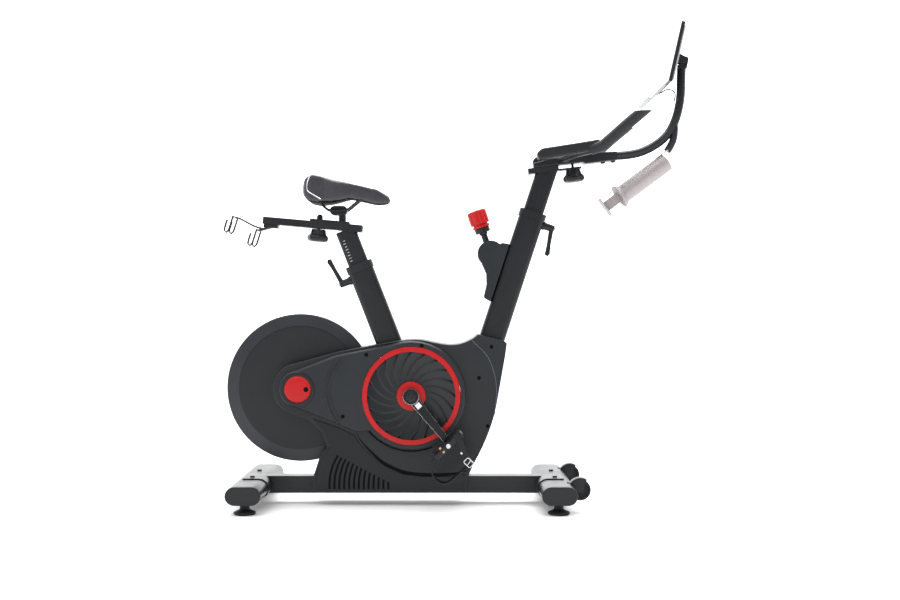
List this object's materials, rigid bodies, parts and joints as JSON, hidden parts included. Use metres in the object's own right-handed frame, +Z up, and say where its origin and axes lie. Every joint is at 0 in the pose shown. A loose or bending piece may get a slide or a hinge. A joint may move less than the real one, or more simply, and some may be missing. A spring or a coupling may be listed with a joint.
{
  "type": "indoor spin bike",
  "caption": "Indoor cycling trainer with a belt-driven flywheel, sliding saddle and handlebar, toe-cage pedals, tilting screen, bottle sleeve and dumbbell hooks.",
  "frame": {"origin": "on the floor under the middle of the bike's overall box", "axes": "+X to the front, towards the handlebar; +Y to the rider's left; +Z up"},
  "size_m": [1.363, 0.508, 1.3951],
  "materials": {
    "frame_paint": "satin black powder coat",
    "shell_plastic": "fine-textured black moulding",
    "dark_plastic": "smooth dark moulding",
    "red_plastic": "satin red moulding",
    "rubber": "black rubber",
    "flywheel_iron": "turned and black coated",
    "bright_steel": "ground steel",
    "soft_vinyl": "grained soft vinyl over foam",
    "brushed_sleeve": "brushed",
    "screen_body": "black glass front in a slim case",
    "pale_plastic": "pale translucent moulding"
  },
  "bodies": {
    "frame": {"base_beam": "frame_paint", "rear_stabilizer": "frame_paint", "front_stabilizer": "frame_paint", "seat_tube": "frame_paint", "head_tube": "frame_paint", "drive_frame": "frame_paint", "end_cap_rear_right": "dark_plastic", "end_cap_rear_left": "dark_plastic", "end_cap_front_right": "dark_plastic", "end_cap_front_left": "dark_plastic", "wheel_guard_right": "dark_plastic", "wheel_guard_left": "dark_plastic", "side_shell_right": "shell_plastic", "side_shell_left": "shell_plastic", "hub_cap_right": "red_plastic", "hub_cap_left": "red_plastic", "crank_ring_right": "red_plastic", "crank_ring_left": "red_plastic", "crank_dish_right": "dark_plastic", "crank_dish_left": "dark_plastic", "drive_belt": "rubber", "resistance_pod": "shell_plastic"},
    "flywheel": {"flywheel": "flywheel_iron", "flywheel_axle": "bright_steel"},
    "crank": {"crank_spindle": "bright_steel", "crank_arm_right": "frame_paint", "crank_arm_left": "frame_paint"},
    "pedal_right": {"pedal_right": "dark_plastic", "toe_cage_right": "dark_plastic"},
    "pedal_left": {"pedal_left": "dark_plastic", "toe_cage_left": "dark_plastic"},
    "magnet_yoke": {"magnet_yoke": "bright_steel"},
    "brake_plunger": {"brake_plunger": "dark_plastic"},
    "resistance_knob": {"resistance_knob": "red_plastic"},
    "seat_post": {"seat_post": "frame_paint", "weight_rack": "frame_paint"},
    "saddle_carriage": {"saddle_carriage": "dark_plastic", "saddle_rails": "bright_steel", "saddle": "soft_vinyl"},
    "seat_knob": {"seat_knob": "dark_plastic"},
    "seat_lever": {"seat_lever": "dark_plastic"},
    "handlebar_post": {"handlebar_post": "frame_paint"},
    "handlebar": {"handlebar_stem": "frame_paint", "arm_pad_right": "soft_vinyl", "arm_pad_left": "soft_vinyl", "grip_right": "rubber", "grip_left": "rubber", "screen_arm": "frame_paint", "bottle_sleeve": "brushed_sleeve", "charging_lead": "rubber"},
    "handlebar_knob": {"handlebar_knob": "dark_plastic"},
    "head_lever": {"head_lever": "dark_plastic"},
    "screen": {"screen_panel": "screen_body", "device_shelf": "pale_plastic"},
    "wheel_right": {"transport_wheel_right": "rubber"},
    "wheel_left": {"transport_wheel_left": "rubber"},
    "foot_rear_right": {"foot_rear_right": "rubber"},
    "foot_rear_left": {"foot_rear_left": "rubber"},
    "foot_front_right": {"foot_front_right": "rubber"},
    "foot_front_left": {"foot_front_left": "rubber"}
  },
  "joints": [
    {"name": "flywheel_spin", "type": "hinge", "parent": "frame", "child": "flywheel", "pos_m": [-0.4605, 0, 0.34], "axis": [0, 1, 0], "continuous": true},
    {"name": "crank_spin", "type": "hinge", "parent": "frame", "child": "crank", "pos_m": [-0.1325, 0, 0.321], "axis": [0, 1, 0], "continuous": true},
    {"name": "pedal_right_spin", "type": "hinge", "parent": "crank", "child": "pedal_right", "pos_m": [-0.02494, -0.163, 0.18935], "axis": [0, 1, 0], "continuous": true},
    {"name": "pedal_left_spin", "type": "hinge", "parent": "crank", "child": "pedal_left", "pos_m": [-0.24006, 0.163, 0.45265], "axis": [0, 1, 0], "continuous": true},
    {"name": "magnet_swing", "type": "hinge", "parent": "frame", "child": "magnet_yoke", "pos_m": [-0.233, 0, 0.327], "axis": [0, -1, 0], "range_deg": [0, 2.4]},
    {"name": "brake_press", "type": "slide", "parent": "frame", "child": "brake_plunger", "axis": [0.3256, 0, -0.9455], "range_m": [0, 0.008], "stiffness_N_per_m": 2500, "springref_m": -0.001},
    {"name": "resistance_turn", "type": "hinge", "parent": "brake_plunger", "child": "resistance_knob", "pos_m": [0.099, 0, 0.7345], "axis": [-0.3256, 0, 0.9455], "range_deg": [0, 540]},
    {"name": "seat_height", "type": "slide", "parent": "frame", "child": "seat_post", "axis": [-0.3633, 0, 0.9317], "range_m": [-0.035, 0.07]},
    {"name": "seat_fore_aft", "type": "slide", "parent": "seat_post", "child": "saddle_carriage", "axis": [0.9961, 0, -0.0882], "range_m": [-0.06, 0.02]},
    {"name": "seat_knob_turn", "type": "hinge", "parent": "saddle_carriage", "child": "seat_knob", "pos_m": [-0.40657, 0, 0.81841], "axis": [0.0882, 0, 0.9961], "range_deg": [0, 270]},
    {"name": "seat_lever_turn", "type": "hinge", "parent": "frame", "child": "seat_lever", "pos_m": [-0.33237, 0, 0.64794], "axis": [-0.9317, 0, -0.3633], "range_deg": [-90, 90]},
    {"name": "handlebar_height", "type": "slide", "parent": "frame", "child": "handlebar_post", "axis": [0.3115, 0, 0.9502], "range_m": [-0.035, 0.07]},
    {"name": "handlebar_fore_aft", "type": "slide", "parent": "handlebar_post", "child": "handlebar", "axis": [0.9936, 0, 0.1132], "range_m": [-0.055, 0.03]},
    {"name": "handlebar_knob_turn", "type": "hinge", "parent": "handlebar_post", "child": "handlebar_knob", "pos_m": [0.34143, 0, 0.99096], "axis": [-0.1132, 0, 0.9936], "range_deg": [0, 270]},
    {"name": "head_lever_turn", "type": "hinge", "parent": "frame", "child": "head_lever", "pos_m": [0.2731, 0, 0.81119], "axis": [0.9502, 0, -0.3115], "range_deg": [-90, 90]},
    {"name": "screen_tilt", "type": "hinge", "parent": "handlebar", "child": "screen", "pos_m": [0.6715, 0, 1.305], "axis": [0, 1, 0], "range_deg": [0, 15]},
    {"name": "wheel_right_spin", "type": "hinge", "parent": "frame", "child": "wheel_right", "pos_m": [0.347, -0.16, 0.062], "axis": [0, 1, 0], "continuous": true},
    {"name": "wheel_left_spin", "type": "hinge", "parent": "frame", "child": "wheel_left", "pos_m": [0.347, 0.16, 0.062], "axis": [0, 1, 0], "continuous": true},
    {"name": "foot_rear_right_screw", "type": "slide", "parent": "frame", "child": "foot_rear_right", "axis": [0, 0, -1], "range_m": [0, 0.012]},
    {"name": "foot_rear_left_screw", "type": "slide", "parent": "frame", "child": "foot_rear_left", "axis": [0, 0, -1], "range_m": [0, 0.012]},
    {"name": "foot_front_right_screw", "type": "slide", "parent": "frame", "child": "foot_front_right", "axis": [0, 0, -1], "range_m": [0, 0.012]},
    {"name": "foot_front_left_screw", "type": "slide", "parent": "frame", "child": "foot_front_left", "axis": [0, 0, -1], "range_m": [0, 0.012]}
  ],
  "couplings": [
    {"joint": "crank_spin", "follows": "flywheel_spin", "ratio": 0.25},
    {"joint": "magnet_swing", "follows": "resistance_turn", "ratio": 0.0044444}
  ]
}
